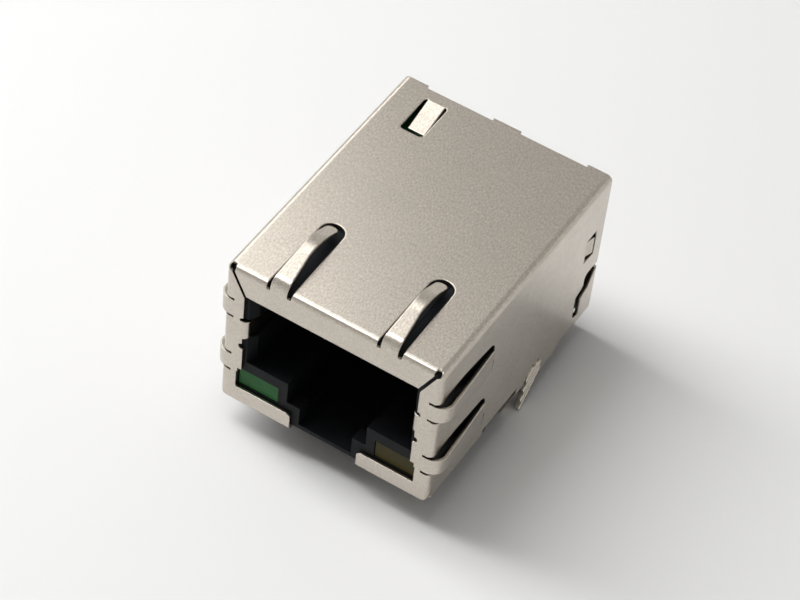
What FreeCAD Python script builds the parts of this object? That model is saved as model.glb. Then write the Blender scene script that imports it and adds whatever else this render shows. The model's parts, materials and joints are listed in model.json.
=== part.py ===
import FreeCAD, Part
import math
import os

# Shielded modular jack for a printed board: latch side down, two indicator lights, built-in transformers.
# Frame: Z = 0 is the board's surface, X = 0 the centreline, Y = 0 the line through the two locating pegs.
# The plug comes in from -Y. Millimetres. A "depth" is measured back from the shield's front face.

V = FreeCAD.Vector

# Shield, seen from outside
WIDTH = 16.1
LENGTH = 21.3
TOP = 13.4
SHEET = 0.25
BEND = 0.45
FIT = 0.05
SLIDE = 0.02
OVERLAP = 0.3

# Where the jack stands on its board
PEG_SETBACK = 8.7
PEG_SPACING = 11.43
PEG_RADIUS = 1.6
PEG_REACH = 1.4
PEG_CHAMFER = 0.35
TAIL_REACH = 1.6
STAND_OFF = 0.9
PAD_SIZE = 1.5

# Mouth of the shield
MOUTH_TOP = 11.23
MOUTH_HALF = 6.57
MOUTH_LOW_HALF = 6.49
COLUMN_NOTCH_LOW = 6.36
COLUMN_NOTCH_HIGH = 8.82
NOTCH_RADIUS = 0.25
LIGHT_CUT_HALF = 6.88
LIGHT_CUT_TOP = 4.1
SILL_TOP = 2.2
SILL_BOTTOM = 0.62
SILL_END = 2.59
SILL_RETURN = 0.9
SILL_CORNER = 1.0
CORNER_ROUND = 0.3
MITRE_GAP = 0.24
MITRE_HOLE_RADIUS = 0.24

# Earth springs that press on the plug
EARTH_LOW = 7.13
EARTH_HIGH = 8.72
EARTH_HALF = 6.2
EARTH_RUN = 3.4
EARTH_LEAN = 4.0
EARTH_TOE = 1.1
EARTH_TOE_TURN = 14.0

# Panel springs on top
TOP_SPRING_X = 4.105
TOP_SLOT_HALF = 0.935
TOP_SLOT_END_HALF = 0.86
TOP_SLOT_DEPTH = 6.95
TOP_SPRING_HALF = 0.62
TOP_SPRING_TIP_HALF = 0.43
TOP_SPRING_WAIST_DEPTH = 2.9
TOP_SPRING_DEPTH = 6.4
TOP_SPRING_SINK = 0.3
TOP_SPRING_ROOT_RUN = 0.4
TOP_SPRING_RISE_RADIUS = 0.95
TOP_SPRING_CLIMB_TURN = 13.0
TOP_SPRING_CLIMB_RUN = 2.0
TOP_SPRING_CROWN_RADIUS = 4.0
TOP_SPRING_FALL_TURN = 25.0
ROOT_BALL_RADIUS = 0.16
ROUNDNESS = 0.96

# Panel springs on the sides, upper then lower: low and high edge in front, high edge and depth at the rear
SIDE_SPRINGS = ((8.88, 10.30, 9.38, 6.95), (3.73, 5.14, 4.44, 6.70))
SIDE_NOTCH = 0.2
SIDE_SLIT = 0.1
SIDE_SPRING_BULGE = 0.56
SIDE_SPRING_RADIUS = 1.0
SIDE_SPRING_EASE = 2.0
SIDE_SPRING_START = 0.75
SIDE_SLOT_RISE = 0.45
SIDE_SLOT_NOSE = 0.95
SIDE_SPRING_WAIST_DEPTH = 3.1
SIDE_SPRING_WAIST_DROP = 0.2
SIDE_SPRING_BELLY_SETBACK = 1.3
SIDE_SPRING_BELLY_DROP = 1.36
SLIT_HOLE_RADIUS = 0.16
SLIT_HOLE_RISE = 0.9

# Lower edge of the side walls
SIDE_FOOT_FRONT = 0.97
SIDE_FOOT_DEPTH = 6.95
SIDE_RECESS = 1.4
REAR_FOOT = 0.17
REAR_FOOT_START = 14.45
REAR_FOOT_END = 16.55
SIDE_TAIL = 0.7

# Board locks: split prongs cut from the side walls
LOCK_DEPTH = 12.75
LOCK_FRONT_WIDTH = 1.3
LOCK_REAR_WIDTH = 1.7
LOCK_SLIT = 0.16
LOCK_LEAN = 0.72
LOCK_TIP_WIDTH = 0.75
LOCK_TIP_ROUND = 0.25
LOCK_KNEE_FRONT = 1.3
LOCK_KNEE_REAR = 0.5
LOCK_TUCK = 20.0
LOCK_TUCK_HEIGHT = 0.85
LOCK_RIDGES = 4
LOCK_RIDGE_RADIUS = 0.12
LOCK_RIDGE_PITCH = 0.62
LOCK_RIDGE_TOP = 0.9

# Rear of the shield
TOP_NOTCH_INNER = 1.06
TOP_NOTCH_OUTER = 6.19
CATCH_LOW = 6.9
CATCH_HIGH = 9.15
CATCH_SETBACK = 1.0
CATCH_RUN = 1.3
CATCH_RISE = 14.0
CATCH_SLOT_TOP = 0.6
CATCH_SLOT_BOTTOM = 0.15
INNER_FLAP_MARGIN = 0.6
FLAP_BEND = SHEET + FIT
OUTER_FLAP_LOW = 1.6
OUTER_FLAP_STEP = 3.3
OUTER_FLAP_HIGH = 4.85
OUTER_FLAP_REACH = 2.03
OUTER_FLAP_PROUD = 0.12
OUTER_FLAP_STEP_RUN = 1.0
OUTER_FLAP_STEP_RISE = 0.42
OUTER_FLAP_TOP_RUN = 0.3
FLAP_GAP_WIDTH = 0.57
FLAP_GAP_BELOW = 0.07
FLAP_GAP_STEP = 3.75
FLAP_GAP_STEP_RUN = 0.95
FLAP_GAP_ABOVE = 0.35
FLAP_GAP_ROUND = 0.45
REAR_PLATE_BOTTOM = 0.7
REAR_TAB_WIDTH = 0.5

# Window with a tongue in the top
WINDOW_LEFT = 5.74
WINDOW_RIGHT = 3.97
WINDOW_SETBACK = 1.12
WINDOW_RUN = 3.38
TONGUE_SIDE_GAP = 0.22
TONGUE_ANGLE = 13.0
TONGUE_RUN = 2.55

# Housing and the room for the plug
CAVITY_HALF = 5.92
CAVITY_FLOOR = 4.75
CAVITY_ROOF = 11.35
CAVITY_DEPTH = 11.1
LEAD_IN = 0.4
LEAD_IN_DEPTH = 0.7
LATCH_LEDGE = 2.94
LATCH_LEDGE_HALF = 3.04
LATCH_SLOT_HALF = 2.03
LATCH_FLOOR = 1.4
LATCH_LIP_DEPTH = 1.35
LATCH_POCKET_HALF = 3.2
LATCH_POCKET_FLOOR = 1.9
LATCH_POCKET_DEPTH = 8.2
HOUSING_DEPTH = 14.15
EARTH_POCKET_DEPTH = 6.3

# Contacts
CONTACTS = 8
CONTACT_PITCH = 1.02
CONTACT_WIDTH = 0.46
CONTACT_THICKNESS = 0.35
CONTACT_LOOP_RADIUS = 0.62
CONTACT_LOOP_DEPTH = 1.98
CONTACT_SLOPE = 20.0
CONTACT_FREE_RUN = 10.1
CONTACT_TAIL_RUN = 1.25
CONTACT_ROOF = 0.25
CONTACT_CLEARANCE = 0.2
COMB_SLOT = 0.62
COMB_DEPTH = 1.3
COMB_BOTTOM = 7.8
BLOCK_FRONT = 1.25
BLOCK_WALL = 0.45
BLOCK_KEY = 0.3
BLOCK_KEY_HEIGHT = 0.5

# Indicator lights
LIGHT_CENTRE = 5.28
LIGHT_WIDTH = 3.04
LIGHT_BOTTOM = 2.38
LIGHT_TOP = 3.79
LIGHT_LENGTH = 4.9
LIGHT_ROUND = 0.2
LIGHT_PIN_SPACING = 2.54
LIGHT_PIN_WIDTH = 0.5
LIGHT_PIN_SETBACK = 4.06
LIGHT_PIN_BEND = 0.75

# Circuit board and the transformer case under it
BOARD_THICKNESS = 0.8
BOARD_SIDE_GAP = 0.15
BOARD_FRONT_GAP = 0.15
CASE_COLUMNS = 4
CASE_WALL = 0.3
CASE_FLOOR = 8.2
CASE_END_WALL = 0.5
CASE_REAR_WALL = 0.45

# Board pins, two staggered rows
PIN_SPACING = 1.27
PIN_WIDTH = 0.45
PIN_THICKNESS = 0.3
PIN_ROWS = (6.35, 8.89)
PIN_TOP_STAND = 0.2
PIN_RUN_HEIGHT = 1.4
PIN_SINK = 0.4

# Transformers
CORE_RADIUS = 1.2
CORE_BORE_RADIUS = 0.62
CORE_HEIGHT = 1.3
CORE_EDGE = 0.15
WINDING_TURNS = 4
WINDING_GAP = 0.04
WINDING_WIRE = 0.14
WINDING_SPAN = 300.0

# Small components on the circuit board
RESISTORS = 4
RESISTOR_SIZE = (0.8, 1.6, 0.45)
RESISTOR_PITCH = 1.6
RESISTOR_GAP = 1.0
CAPACITOR_SIZE = (1.6, 3.2, 0.6)
CAPACITOR_GAP = 1.3
CAPACITOR_EDGE_GAP = 1.5
CAP_ROUND = 0.05

# Worked out from the sizes above
HALF = WIDTH / 2
FRONT = -PEG_SETBACK
REAR = FRONT + LENGTH
PEG_X = PEG_SPACING / 2
PLASTIC_HALF = HALF - SHEET - FIT
PLASTIC_TOP = TOP - SHEET - FIT
PLASTIC_FRONT = FRONT + SHEET + FIT
HOUSING_REAR = FRONT + HOUSING_DEPTH
PLATE_INSIDE = REAR - SHEET
CATCH_REAR = REAR - CATCH_SETBACK
CATCH_FRONT = CATCH_REAR - CATCH_RUN
WINDOW_REAR = REAR - WINDOW_SETBACK
WINDOW_FRONT = WINDOW_REAR - WINDOW_RUN
OUTER_FLAP_FRONT = REAR - OUTER_FLAP_REACH
CASE_HALF = PLASTIC_HALF - SHEET - FIT
BOARD_HALF = CASE_HALF - BOARD_SIDE_GAP
CASE_FRONT = HOUSING_REAR + FIT
CASE_REAR = PLATE_INSIDE - FIT
BLOCK_HALF = (CONTACTS - 1) / 2 * CONTACT_PITCH + COMB_SLOT / 2 + BLOCK_WALL
TOP_SPRING_ROOT = TOP - TOP_SPRING_SINK
BLOCK_TOP = PLASTIC_TOP - FIT
CONTACT_TOP = BLOCK_TOP - CONTACT_ROOF
BOARD_TOP = CONTACT_TOP - CONTACT_THICKNESS
BOARD_BOTTOM = BOARD_TOP - BOARD_THICKNESS
CASE_TOP = BOARD_BOTTOM - FIT
BOARD_FRONT = HOUSING_REAR + BOARD_FRONT_GAP
CONTACT_TAIL = HOUSING_REAR + CONTACT_TAIL_RUN
RESISTOR_FRONT = CONTACT_TAIL + RESISTOR_GAP
CAPACITOR_FRONT = BOARD_FRONT + CAPACITOR_GAP
BOARD_REAR = CASE_REAR - FIT
PIN_OUTER = CASE_REAR - PIN_SINK
MARGIN = 1.0


def yz(u, v):
    """Place (u, v) in a plane across X."""
    return V(0, u, v)


def xz(u, v):
    """Place (u, v) in a plane across Y."""
    return V(u, 0, v)


def xy(u, v):
    """Place (u, v) in a plane across Z."""
    return V(u, v, 0)


NORMAL = {yz: V(1, 0, 0), xz: V(0, 1, 0), xy: V(0, 0, 1)}


def block(x0, x1, y0, y1, z0, z1):
    """Box between two corners."""
    return Part.makeBox(x1 - x0, y1 - y0, z1 - z0, V(x0, y0, z0))


def mirrored(shape):
    """The shape's twin across the centreline."""
    return shape.mirror(V(0, 0, 0), V(1, 0, 0))


def both(shape):
    """The shape and its twin across the centreline."""
    return [shape, mirrored(shape)]


def one_solid(shape):
    """The single solid that a piece must be."""
    clean = shape.removeSplitter()
    if len(clean.Solids) != 1:
        raise ValueError("expected one solid, found %d" % len(clean.Solids))
    return clean.Solids[0]


def extrude(edges, plane, start, end):
    """Fill a closed chain of edges and extrude it along the plane's normal."""
    face = Part.Face(Part.Wire(edges))
    face.translate(NORMAL[plane] * start)
    return face.extrude(NORMAL[plane] * (end - start))


def prism(corners, plane, start, end):
    """Extrude a polygon whose corners are (u, v) or (u, v, radius), each radius a tangent arc."""
    ends = []
    for index, corner in enumerate(corners):
        here = V(corner[0], corner[1], 0)
        radius = corner[2] if len(corner) > 2 else 0
        if radius == 0:
            ends.append((here, here, here))
            continue
        before = V(*corners[index - 1][:2], 0) - here
        after = V(*corners[(index + 1) % len(corners)][:2], 0) - here
        before.normalize()
        after.normalize()
        half_angle = before.getAngle(after) / 2
        setback = radius / math.tan(half_angle)
        inward = (before + after).normalize()
        middle = here + inward * (radius / math.sin(half_angle) - radius)
        ends.append((here + before * setback, middle, here + after * setback))
    edges = []
    for index, (first, middle, last) in enumerate(ends):
        if first != last:
            edges.append(Part.Arc(*[plane(p.x, p.y) for p in (first, middle, last)]).toShape())
        following = ends[(index + 1) % len(ends)][0]
        if last.distanceToPoint(following) > 1e-6:
            edges.append(Part.LineSegment(plane(last.x, last.y), plane(following.x, following.y)).toShape())
    return extrude(edges, plane, start, end)


def strip(start, heading, moves, side, plane, low, high, thickness=SHEET):
    """Bent strip: one face follows straights (length,) and bends (radius, turn), turns to the left positive.

    side is 1 where the thickness lies left of the path and -1 where it lies right of it.
    """
    def direction(angle):
        return V(math.cos(math.radians(angle)), math.sin(math.radians(angle)), 0)

    def twin(point, angle):
        return point + direction(angle + 90) * (side * thickness)

    point = V(start[0], start[1], 0)
    path = []
    for move in moves:
        if len(move) == 1:
            path.append([(point, heading), (point + direction(heading) * move[0], heading)])
        else:
            radius, turn = move
            sign = math.copysign(1, turn)
            centre = point + direction(heading + 90 * sign) * radius
            stops = [heading, heading + turn / 2, heading + turn]
            path.append([(centre + direction(angle - 90 * sign) * radius, angle) for angle in stops])
        point, heading = path[-1][-1]

    def edge(points):
        placed = [plane(p.x, p.y) for p in points]
        if len(placed) == 2:
            return Part.LineSegment(*placed).toShape()
        return Part.Arc(*placed).toShape()

    near = [edge([p for p, angle in stretch]) for stretch in path]
    far = [edge([twin(p, angle) for p, angle in reversed(stretch)]) for stretch in reversed(path)]
    first_cap = edge([path[-1][-1][0], twin(*path[-1][-1])])
    last_cap = edge([twin(*path[0][0]), path[0][0][0]])
    return extrude(near + [first_cap] + far + [last_cap], plane, low, high)


def bent_box(half, front, back, low, top, radius):
    """Box with its front and top folds rounded."""
    box = block(-half, half, front, back, low, top)
    folds = []
    for edge in box.Edges:
        middle = edge.CenterOfMass
        on_side = abs(abs(middle.x) - half) < 1e-6
        on_front = abs(middle.y - front) < 1e-6
        on_top = abs(middle.z - top) < 1e-6
        if on_side + on_front + on_top == 2:
            folds.append(edge)
    return box.makeFillet(radius, folds)


def mouth():
    """Front opening: the plug's way in, the lights and the gap between the two sills."""
    right = [
        (MOUTH_HALF, MOUTH_TOP),
        (MOUTH_HALF, COLUMN_NOTCH_LOW),
        (MOUTH_LOW_HALF, COLUMN_NOTCH_LOW - CORNER_ROUND / 3),
        (MOUTH_LOW_HALF, LIGHT_CUT_TOP),
        (LIGHT_CUT_HALF, LIGHT_CUT_TOP, CORNER_ROUND / 3),
        (LIGHT_CUT_HALF, SILL_TOP, CORNER_ROUND / 2),
        (SILL_END, SILL_TOP, CORNER_ROUND),
        (SILL_END, -MARGIN),
    ]
    left = [(-corner[0],) + tuple(corner[1:]) for corner in reversed(right)]
    return prism(right + left, xz, FRONT - MARGIN, FRONT + BEND)


def mitre():
    """Slit from the mouth's upper corner out to the shield's corner, with its relief hole."""
    inner = V(MOUTH_HALF, MOUTH_TOP, 0)
    outer = V(HALF - BEND, TOP - BEND / 2, 0)
    along = (outer - inner).normalize()
    across = V(-along.y, along.x, 0) * (MITRE_GAP / 2)
    inner = inner - along * MITRE_GAP
    corners = [inner + across, inner - across, outer - across, outer + across]
    slit = prism([(c.x, c.y) for c in corners], xz, FRONT - MARGIN, FRONT + BEND)
    centre = V(outer.x, FRONT - MARGIN, outer.y)
    return slit.fuse(Part.makeCylinder(MITRE_HOLE_RADIUS, MARGIN + BEND, centre, V(0, 1, 0)))


def column_notch(height):
    """Round relief beside an earth spring's root."""
    return Part.makeCylinder(NOTCH_RADIUS, MARGIN + BEND, V(MOUTH_HALF, FRONT - MARGIN, height), V(0, 1, 0))


def earth_spring():
    """Spring folded back from the right column into the mouth."""
    start = EARTH_HALF + BEND + FIT
    moves = [
        (HALF - BEND - start, ),
        (FIT, ),
        (BEND, -90),
        (BEND, EARTH_LEAN),
        (EARTH_RUN,),
        (BEND * 2, -EARTH_TOE_TURN),
        (EARTH_TOE,),
    ]
    return strip((HALF - BEND, FRONT), 180, moves, -1, xy, EARTH_LOW, EARTH_HIGH)


def top_slot():
    """Cut round one top spring, open over the front fold."""
    centre = TOP_SPRING_X
    end = FRONT + TOP_SLOT_DEPTH
    corners = [
        (centre - TOP_SLOT_HALF, FRONT - MARGIN),
        (centre + TOP_SLOT_HALF, FRONT - MARGIN),
        (centre + TOP_SLOT_HALF, FRONT),
        (centre + TOP_SLOT_END_HALF, end, TOP_SLOT_END_HALF * ROUNDNESS),
        (centre - TOP_SLOT_END_HALF, end, TOP_SLOT_END_HALF * ROUNDNESS),
        (centre - TOP_SLOT_HALF, FRONT),
    ]
    slot = prism(corners, xy, TOP_SPRING_ROOT, TOP + MARGIN)
    for side in (-1, 1):
        middle = (TOP_SLOT_HALF + TOP_SPRING_HALF) / 2 * side
        root = V(centre + middle, FRONT - MARGIN, TOP_SPRING_ROOT)
        slot = slot.fuse(Part.makeCylinder(ROOT_BALL_RADIUS, MARGIN + BEND, root, V(0, 1, 0)))
    return slot


def top_spring():
    """Bowed spring that rises over the front fold and falls back to a free tip."""
    rise = 90 - TOP_SPRING_CLIMB_TURN
    climb = math.radians(TOP_SPRING_CLIMB_TURN)
    fall = math.radians(TOP_SPRING_FALL_TURN)
    reach = TOP_SPRING_RISE_RADIUS * (1 - math.cos(math.radians(rise)))
    reach += TOP_SPRING_CLIMB_RUN * math.cos(climb)
    reach += TOP_SPRING_CROWN_RADIUS * (math.sin(climb) + math.sin(fall))
    moves = [
        (TOP_SPRING_ROOT_RUN,),
        (TOP_SPRING_RISE_RADIUS, -rise),
        (TOP_SPRING_CLIMB_RUN,),
        (TOP_SPRING_CROWN_RADIUS, -TOP_SPRING_CLIMB_TURN - TOP_SPRING_FALL_TURN),
        ((TOP_SPRING_DEPTH - reach) / math.cos(fall),),
    ]
    low = TOP_SPRING_X - TOP_SPRING_HALF
    high = TOP_SPRING_X + TOP_SPRING_HALF
    bow = strip((FRONT, TOP_SPRING_ROOT - TOP_SPRING_ROOT_RUN), 90, moves, -1, yz, low, high)
    waist = FRONT + TOP_SPRING_WAIST_DEPTH
    tip = FRONT + TOP_SPRING_DEPTH
    right = [
        (TOP_SPRING_HALF, FRONT - MARGIN),
        (TOP_SPRING_HALF, FRONT + BEND),
        (TOP_SPRING_TIP_HALF, waist, TOP_SPRING_WAIST_DEPTH),
        (TOP_SPRING_TIP_HALF, tip, TOP_SPRING_TIP_HALF * ROUNDNESS),
    ]
    plan = [(TOP_SPRING_X + corner[0],) + corner[1:] for corner in right]
    plan += [(TOP_SPRING_X - corner[0],) + corner[1:] for corner in reversed(right)]
    return bow.common(prism(plan, xy, 0, TOP + 2 * MARGIN))


def side_opening(front_low, front_high, back_high, depth):
    """Cut in the right wall round one side spring: a notch in the fold, then a slot with a rounded nose."""
    start = FRONT - MARGIN
    waist = FRONT + SIDE_SPRING_WAIST_DEPTH
    end = FRONT + depth
    belly = end - SIDE_SPRING_BELLY_SETBACK
    belly_low = front_low - SIDE_SPRING_BELLY_DROP
    slot_top = front_high + SIDE_SLOT_RISE
    corners = [
        (start, front_low - SIDE_NOTCH),
        (FRONT + BEND, front_low - SIDE_NOTCH),
        (waist, front_low - SIDE_SPRING_WAIST_DROP - SIDE_SLIT, SIDE_SPRING_RADIUS),
        (belly, belly_low - SIDE_SLIT, SIDE_SPRING_RADIUS),
        (end + SIDE_SLIT, belly_low, SIDE_SPRING_RADIUS / 2),
        (end, back_high),
        (end, back_high + SIDE_SLOT_NOSE, SIDE_SLOT_NOSE * ROUNDNESS),
        (waist, slot_top, SIDE_SPRING_RADIUS),
        (FRONT + SIDE_SPRING_RADIUS, slot_top, SIDE_SPRING_RADIUS / 2),
        (FRONT + BEND, front_high + SIDE_NOTCH),
        (start, front_high + SIDE_NOTCH),
    ]
    opening = prism(corners, yz, HALF - SIDE_SPRING_START, HALF + 2 * MARGIN)
    centre = V(HALF - MARGIN / 2, end, belly_low + SLIT_HOLE_RISE)
    return opening.fuse(Part.makeCylinder(SLIT_HOLE_RADIUS, MARGIN, centre, V(1, 0, 0)))


def side_spring(front_low, front_high, back_high, depth):
    """Spring bowed out of the right wall, held at the front fold and at its far end."""
    start = HALF - SIDE_SPRING_START - 2 * SHEET
    run = HALF + SIDE_SPRING_BULGE - SIDE_SPRING_RADIUS - start
    slope = math.atan2(SIDE_SPRING_BULGE, depth - SIDE_SPRING_RADIUS)
    turned = (SIDE_SPRING_RADIUS + SIDE_SPRING_EASE) * (1 - math.cos(slope))
    ramp = (SIDE_SPRING_BULGE - turned) / math.sin(slope)
    moves = [
        (run,),
        (SIDE_SPRING_RADIUS, 90 + math.degrees(slope)),
        (ramp,),
        (SIDE_SPRING_EASE, -math.degrees(slope)),
        (2 * SIDE_NOTCH,),
    ]
    bow = strip((start, FRONT), 0, moves, 1, xy, front_low - 2 * MARGIN, front_high + MARGIN)
    waist = FRONT + SIDE_SPRING_WAIST_DEPTH
    end = FRONT + depth
    belly = end - SIDE_SPRING_BELLY_SETBACK
    belly_low = front_low - SIDE_SPRING_BELLY_DROP
    taper = (front_high - back_high) / depth
    outline = [
        (FRONT - MARGIN, front_low),
        (FRONT + BEND, front_low),
        (waist, front_low - SIDE_SPRING_WAIST_DROP, SIDE_SPRING_RADIUS),
        (belly, belly_low, SIDE_SPRING_RADIUS),
        (end, belly_low + SIDE_SLIT, SIDE_SPRING_RADIUS / 2),
        (end, belly_low + SLIT_HOLE_RISE),
        (end + MARGIN, belly_low + SLIT_HOLE_RISE),
        (end + MARGIN, back_high),
        (end, back_high),
        (FRONT - MARGIN, front_high + taper * MARGIN),
    ]
    return bow.common(prism(outline, yz, 0, HALF + 2 * MARGIN))


def side_edge():
    """What is cut away below the side walls."""
    corners = [
        (FRONT - MARGIN, -MARGIN),
        (REAR + MARGIN, -MARGIN),
        (REAR + MARGIN, SIDE_TAIL),
        (FRONT + REAR_FOOT_END + CORNER_ROUND, SIDE_TAIL),
        (FRONT + REAR_FOOT_END, REAR_FOOT, CORNER_ROUND / 2),
        (FRONT + REAR_FOOT_START, REAR_FOOT),
        (FRONT + REAR_FOOT_START, SIDE_RECESS),
        (FRONT + SIDE_FOOT_DEPTH, SIDE_RECESS, CORNER_ROUND * 2 / 3),
        (FRONT + SIDE_FOOT_DEPTH, SIDE_FOOT_FRONT, CORNER_ROUND * 2 / 3),
        (FRONT - MARGIN, SIDE_FOOT_FRONT),
    ]
    return prism(corners, yz, -HALF - MARGIN, HALF + MARGIN)


def sill():
    """Right lower strip of the front face, with its edge folded back under the housing."""
    down = SIDE_FOOT_FRONT + OVERLAP - SILL_BOTTOM - BEND
    fold = strip(
        (FRONT, SIDE_FOOT_FRONT + OVERLAP), 270, [(down,), (BEND, 90), (SILL_RETURN,)], 1, yz,
        SILL_END, HALF - BEND,
    )
    corners = [
        (SILL_END, SILL_BOTTOM - MARGIN),
        (HALF - BEND, SILL_BOTTOM - MARGIN),
        (HALF - BEND, SILL_TOP),
        (SILL_END, SILL_TOP, CORNER_ROUND),
    ]
    return fold.common(prism(corners, xz, FRONT - MARGIN, FRONT + 3 * MARGIN))


def sill_corner():
    """Waste outside the rounded lower corner of the front face."""
    waste = block(HALF - SILL_CORNER, HALF + MARGIN, FRONT - MARGIN, FRONT + 3 * MARGIN,
                  SILL_BOTTOM - MARGIN, SILL_BOTTOM + SILL_CORNER)
    centre = V(HALF - SILL_CORNER, FRONT - MARGIN, SILL_BOTTOM + SILL_CORNER)
    waste = waste.cut(Part.makeCylinder(SILL_CORNER, 5 * MARGIN, centre, V(0, 1, 0)))
    keep_side = block(HALF - SHEET, HALF + MARGIN, FRONT + BEND, FRONT + 4 * MARGIN, -MARGIN, TOP)
    return waste.cut(keep_side)


def lock_outline(top_from, top_to, tip_from, tip_to, reach):
    """Slanted prong in the wall's plane, with rounded tip corners."""
    return [
        (FRONT + top_from, SIDE_RECESS + OVERLAP),
        (FRONT + top_to, SIDE_RECESS + OVERLAP),
        (FRONT + top_to, LOCK_KNEE_REAR),
        (FRONT + tip_to, -reach, LOCK_TIP_ROUND),
        (FRONT + tip_from, -reach, LOCK_TIP_ROUND),
        (FRONT + top_from, LOCK_KNEE_FRONT),
    ]


def board_lock():
    """Split prong of the right wall: a plain leg tucked in, and a ridged leg behind it."""
    slit_top = LOCK_DEPTH
    slit_tip = LOCK_DEPTH - LOCK_LEAN
    front_shape = prism(
        lock_outline(slit_top - LOCK_FRONT_WIDTH, slit_top - LOCK_SLIT,
                     slit_tip - LOCK_SLIT - LOCK_TIP_WIDTH, slit_tip - LOCK_SLIT, TAIL_REACH),
        yz, HALF - 2 * MARGIN, HALF + MARGIN,
    )
    rear_shape = prism(
        lock_outline(slit_top, slit_top + LOCK_REAR_WIDTH, slit_tip, slit_tip + LOCK_TIP_WIDTH, TAIL_REACH),
        yz, HALF - 2 * MARGIN, HALF + MARGIN,
    )
    root = SIDE_RECESS + OVERLAP
    tucked = strip(
        (HALF, root), 270, [(root - LOCK_TUCK_HEIGHT,), (BEND, -LOCK_TUCK), (TAIL_REACH * 2,)], -1, xz,
        FRONT, REAR,
    )
    wall = block(HALF - SHEET, HALF, FRONT, REAR, -TAIL_REACH - MARGIN, root)
    ridged = wall
    for index in range(LOCK_RIDGES):
        height = LOCK_RIDGE_TOP - index * LOCK_RIDGE_PITCH
        centre = V(HALF, FRONT + LOCK_DEPTH - MARGIN, height - MARGIN)
        ridged = ridged.fuse(Part.makeCylinder(LOCK_RIDGE_RADIUS, 4 * MARGIN, centre, V(0, 1, 1)))
    return tucked.common(front_shape).fuse(ridged.common(rear_shape))


def outer_flap_outline():
    """Outline of the rear cover's right outer flap, narrower above a step and open to the rear."""
    step_rear = OUTER_FLAP_FRONT + OUTER_FLAP_STEP_RUN
    return [
        (REAR + MARGIN, OUTER_FLAP_LOW),
        (OUTER_FLAP_FRONT, OUTER_FLAP_LOW, CORNER_ROUND / 2),
        (OUTER_FLAP_FRONT, OUTER_FLAP_STEP, CORNER_ROUND / 2),
        (step_rear, OUTER_FLAP_STEP + OUTER_FLAP_STEP_RISE, CORNER_ROUND / 2),
        (REAR - OUTER_FLAP_TOP_RUN, OUTER_FLAP_HIGH, CORNER_ROUND / 2),
        (REAR + MARGIN, OUTER_FLAP_HIGH),
    ]


def flap_gap():
    """Opening in the right wall round the rear cover's outer flap."""
    front = OUTER_FLAP_FRONT - FLAP_GAP_WIDTH
    low = OUTER_FLAP_LOW - FLAP_GAP_BELOW
    high = OUTER_FLAP_HIGH + FLAP_GAP_ABOVE
    step_rear = front + FLAP_GAP_STEP_RUN
    outline = [
        (REAR + MARGIN, low),
        (front, low, FLAP_GAP_ROUND),
        (front, FLAP_GAP_STEP, CORNER_ROUND / 2),
        (step_rear, FLAP_GAP_STEP + OUTER_FLAP_STEP_RISE, CORNER_ROUND / 2),
        (step_rear, high, FLAP_GAP_ROUND),
        (REAR + MARGIN, high),
    ]
    return prism(outline, yz, HALF - 2 * SHEET, HALF + MARGIN)


def top_window():
    """Window in the top, left of the centreline."""
    corners = [
        (-WINDOW_LEFT, WINDOW_FRONT, CORNER_ROUND),
        (-WINDOW_RIGHT, WINDOW_FRONT, CORNER_ROUND),
        (-WINDOW_RIGHT, WINDOW_REAR, CORNER_ROUND),
        (-WINDOW_LEFT, WINDOW_REAR, CORNER_ROUND),
    ]
    return prism(corners, xy, TOP - 2 * SHEET, TOP + MARGIN)


def tongue():
    """Earth tongue hinged at the window's rear edge, sloping forward and down to the circuit board."""
    moves = [(2 * SHEET,), (BEND, TONGUE_ANGLE), (TONGUE_RUN,)]
    left = -WINDOW_LEFT + TONGUE_SIDE_GAP
    right = -WINDOW_RIGHT - TONGUE_SIDE_GAP
    return strip((WINDOW_REAR + 2 * SHEET, TOP), 180, moves, 1, yz, left, right)


def front_shield():
    """Folded sheet over the front, top and sides."""
    outer = bent_box(HALF, FRONT, REAR, REAR_FOOT, TOP, BEND)
    inner = bent_box(HALF - SHEET, FRONT + SHEET, REAR + MARGIN, REAR_FOOT - MARGIN, TOP - SHEET, BEND - SHEET)
    sheet = outer.cut(inner).cut(side_edge())
    waste = [mouth(), top_window()]
    waste += both(block(TOP_NOTCH_INNER, TOP_NOTCH_OUTER, REAR - SHEET, REAR + MARGIN, TOP - 2 * SHEET, WIDTH))
    waste += both(mitre())
    waste += both(column_notch(COLUMN_NOTCH_LOW))
    waste += both(column_notch(COLUMN_NOTCH_HIGH))
    waste += both(top_slot())
    waste += both(flap_gap())
    window = block(HALF - 2 * SHEET, HALF + MARGIN, CATCH_FRONT, CATCH_REAR, CATCH_LOW, CATCH_HIGH)
    waste += both(window)
    for edges in SIDE_SPRINGS:
        waste += both(side_opening(*edges))
    sheet = sheet.cut(waste)
    added = [tongue()]
    added += both(earth_spring())
    added += both(top_spring())
    added += both(board_lock())
    added += both(sill())
    for edges in SIDE_SPRINGS:
        added += both(side_spring(*edges))
    return one_solid(sheet.fuse(added).cut(both(sill_corner())))


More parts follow.
